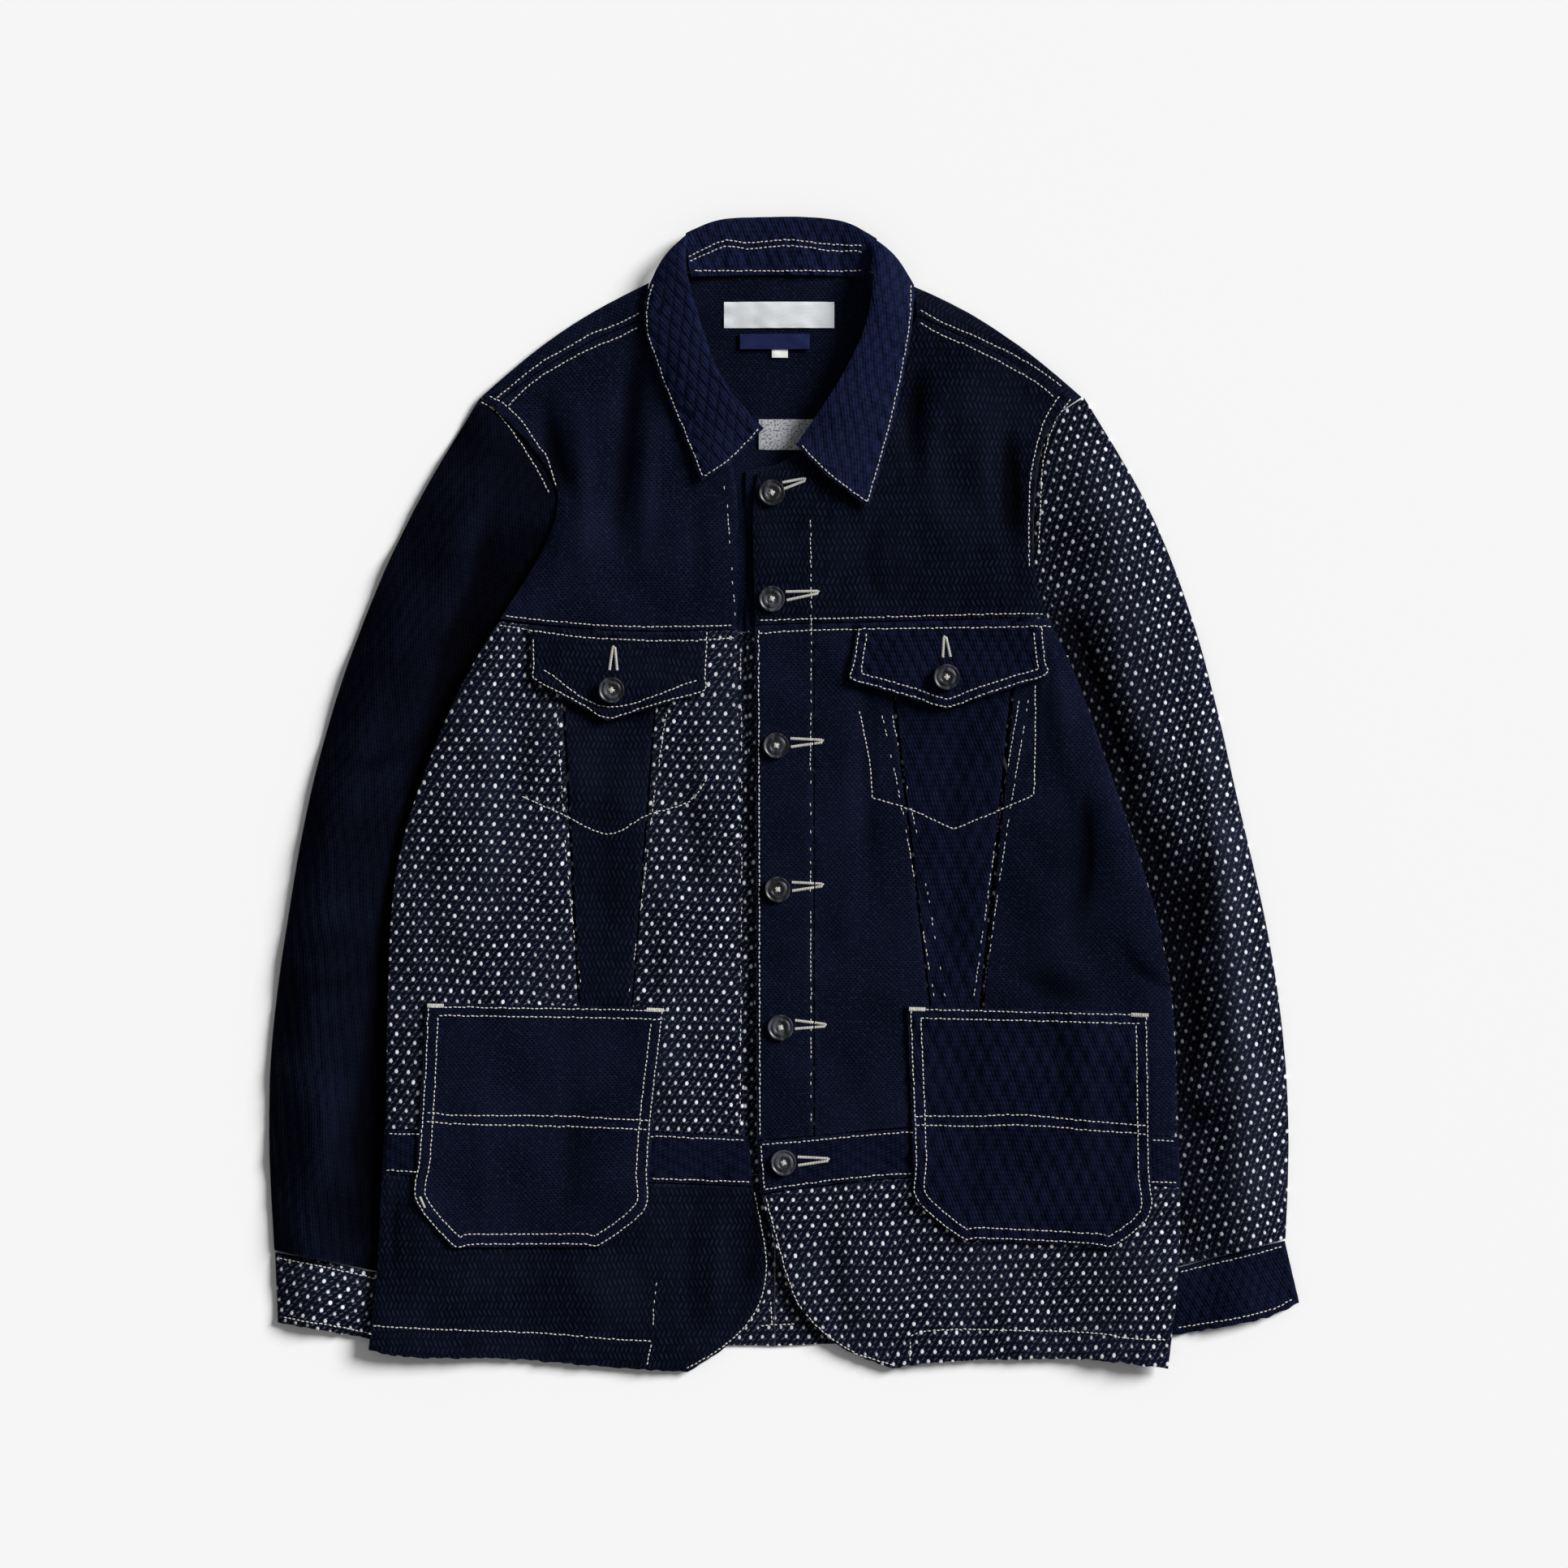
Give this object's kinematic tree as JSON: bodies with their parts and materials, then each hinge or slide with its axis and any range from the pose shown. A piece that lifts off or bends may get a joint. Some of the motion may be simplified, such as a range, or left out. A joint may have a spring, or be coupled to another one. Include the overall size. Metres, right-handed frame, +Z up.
{
  "type": "patched boro jacket",
  "caption": "Boro work jacket pieced from dotted, slubbed and quilted indigo cottons, laid flat and buttoned, with an open collar, patch pockets and a cutaway hem.",
  "frame": {"origin": "on the surface the jacket lies on, under the middle of its plan outline", "axes": "+Z up out of the surface, +Y towards the collar, +X to the wearer's left, which is the right side as seen from above"},
  "size_m": [0.7104, 0.7956, 0.0215],
  "materials": {
    "dotted_indigo": "near-black indigo sashiko cotton with white dots in staggered rows",
    "birdseye_indigo": "indigo cotton with a small diamond weave, washed",
    "slub_indigo": "very dark indigo cotton with short steep slubs",
    "quilted_indigo": "solid indigo double cloth, puckered in small quilted cells",
    "horn": "dark horn-like buttons, polished, with a raised rim",
    "label_cloth": "bare off-white woven label, no lettering",
    "pale_cloth": "pale grey plain cotton"
  },
  "bodies": {
    "root": {"back_yoke": "birdseye_indigo", "back_left": "dotted_indigo", "back_right": "dotted_indigo", "back_side_left": "dotted_indigo", "back_side_right": "dotted_indigo", "back_skirt_left": "dotted_indigo", "back_skirt_right": "dotted_indigo", "sleeve_left_top": "quilted_indigo", "sleeve_left_under": "quilted_indigo", "sleeve_right_top": "dotted_indigo", "sleeve_right_under": "dotted_indigo", "cuff_left_top": "dotted_indigo", "cuff_left_under": "dotted_indigo", "cuff_right_top": "quilted_indigo", "cuff_right_under": "quilted_indigo", "yoke_left": "birdseye_indigo", "yoke_right": "slub_indigo", "shoulder_left": "birdseye_indigo", "shoulder_right": "slub_indigo", "front_side_left": "dotted_indigo", "wedge_left": "slub_indigo", "front_centre_left": "dotted_indigo", "front_centre_right": "birdseye_indigo", "wedge_right": "quilted_indigo", "front_side_right": "birdseye_indigo", "placket": "birdseye_indigo", "placket_under": "dotted_indigo", "waistband_left": "quilted_indigo", "waistband_right": "quilted_indigo", "skirt_left": "slub_indigo", "skirt_right": "dotted_indigo", "pocket_left": "birdseye_indigo", "pocket_right": "quilted_indigo", "flap_left": "slub_indigo", "flap_right": "quilted_indigo", "collar_leaf_left": "quilted_indigo", "collar_leaf_right": "quilted_indigo", "collar_stand_left": "quilted_indigo", "collar_stand_right": "quilted_indigo", "collar_back": "quilted_indigo", "collar_fall_back": "quilted_indigo", "label_main": "label_cloth", "label_small": "quilted_indigo", "label_tag": "label_cloth", "neck_patch": "pale_cloth", "button_1": "horn", "button_2": "horn", "button_3": "horn", "button_4": "horn", "button_5": "horn", "button_6": "horn", "flap_button_left": "horn", "flap_button_right": "horn"}
  },
  "joints": []
}
